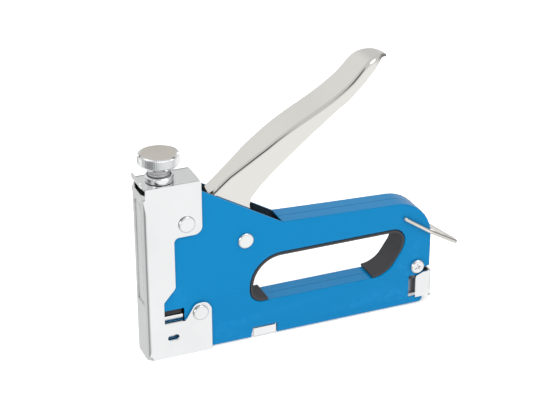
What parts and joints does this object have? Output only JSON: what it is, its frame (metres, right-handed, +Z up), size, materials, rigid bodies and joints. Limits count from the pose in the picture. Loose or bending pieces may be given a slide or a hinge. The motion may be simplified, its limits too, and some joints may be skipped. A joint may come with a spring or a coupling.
{
  "type": "staple gun",
  "caption": "Hand staple gun with a pressed steel grip body, plated nose, squeeze lever, tension knob, wire bail and pull-out staple rail.",
  "frame": {"origin": "centre of the length and width of the whole tool, on the surface its nose stands on", "axes": "+X from the nose to the rear, along the grip; +Z up, away from the work; +Y to the side away from the screw head"},
  "size_m": [0.1748, 0.0208, 0.143],
  "materials": {
    "body_paint": "glossy blue stove enamel",
    "chrome_plate": "bright chrome plate",
    "satin_nickel": "satin nickel plate",
    "plain_steel": "plain oiled steel",
    "liner_plastic": "matt black moulded plastic",
    "stop_rubber": "matt black rubber"
  },
  "bodies": {
    "body": {"body_shell_left": "body_paint", "body_shell_right": "body_paint", "grip_liner": "liner_plastic", "nose_cover": "chrome_plate", "top_cap": "chrome_plate", "hammer_guide": "plain_steel", "hammer_bumper": "stop_rubber", "mainspring": "plain_steel", "collar_nut": "chrome_plate", "magazine_channel": "chrome_plate", "pivot_sleeve_left": "plain_steel", "pivot_sleeve_right": "plain_steel", "return_spring": "plain_steel", "lever_pivot_rivet": "chrome_plate", "upper_nose_rivet": "chrome_plate", "lower_nose_rivet": "chrome_plate", "rear_screw": "chrome_plate", "rear_nut": "plain_steel", "rear_spacer": "plain_steel", "lower_nose_spacer": "plain_steel"},
    "lever": {"handle_lever": "satin_nickel", "lift_arm": "plain_steel"},
    "hammer": {"hammer": "plain_steel", "driver_blade": "plain_steel"},
    "seat": {"spring_seat": "plain_steel"},
    "knob": {"tension_knob": "chrome_plate"},
    "rail": {"staple_rail": "plain_steel", "pusher_rod": "plain_steel", "rear_latch": "chrome_plate", "pusher_spring": "plain_steel"},
    "pusher": {"pusher": "plain_steel"},
    "bail": {"bail": "plain_steel"}
  },
  "joints": [
    {"name": "lever_squeeze", "type": "hinge", "parent": "body", "child": "lever", "pos_m": [-0.035, 0, 0.0568], "axis": [0, 1, 0], "range_deg": [0, 40], "stiffness_Nm_per_rad": 1.2, "springref_deg": -22.92},
    {"name": "hammer_lift", "type": "slide", "parent": "body", "child": "hammer", "axis": [0, 0, 1], "range_m": [0, 0.0163], "deforming": ["mainspring"]},
    {"name": "seat_travel", "type": "slide", "parent": "body", "child": "seat", "axis": [0, 0, 1], "range_m": [-0.0037, 0.0024]},
    {"name": "knob_turn", "type": "hinge", "parent": "seat", "child": "knob", "pos_m": [-0.0758, 0, 0.1], "axis": [0, 0, 1], "range_deg": [-1080, 720]},
    {"name": "rail_pull", "type": "slide", "parent": "body", "child": "rail", "axis": [1, 0, 0], "range_m": [0, 0.11]},
    {"name": "pusher_slide", "type": "slide", "parent": "rail", "child": "pusher", "axis": [1, 0, 0], "range_m": [0, 0.09], "stiffness_N_per_m": 15, "springref_m": -0.06, "deforming": ["pusher_spring"]},
    {"name": "bail_swing", "type": "hinge", "parent": "body", "child": "bail", "pos_m": [0.0521, 0, 0.0521], "axis": [0, -1, 0], "range_deg": [0, 178]}
  ],
  "couplings": [
    {"joint": "hammer_lift", "follows": "lever_squeeze", "m_per_rad": 0.023062},
    {"joint": "knob_turn", "follows": "seat_travel", "rad_per_m": 5026.5}
  ]
}
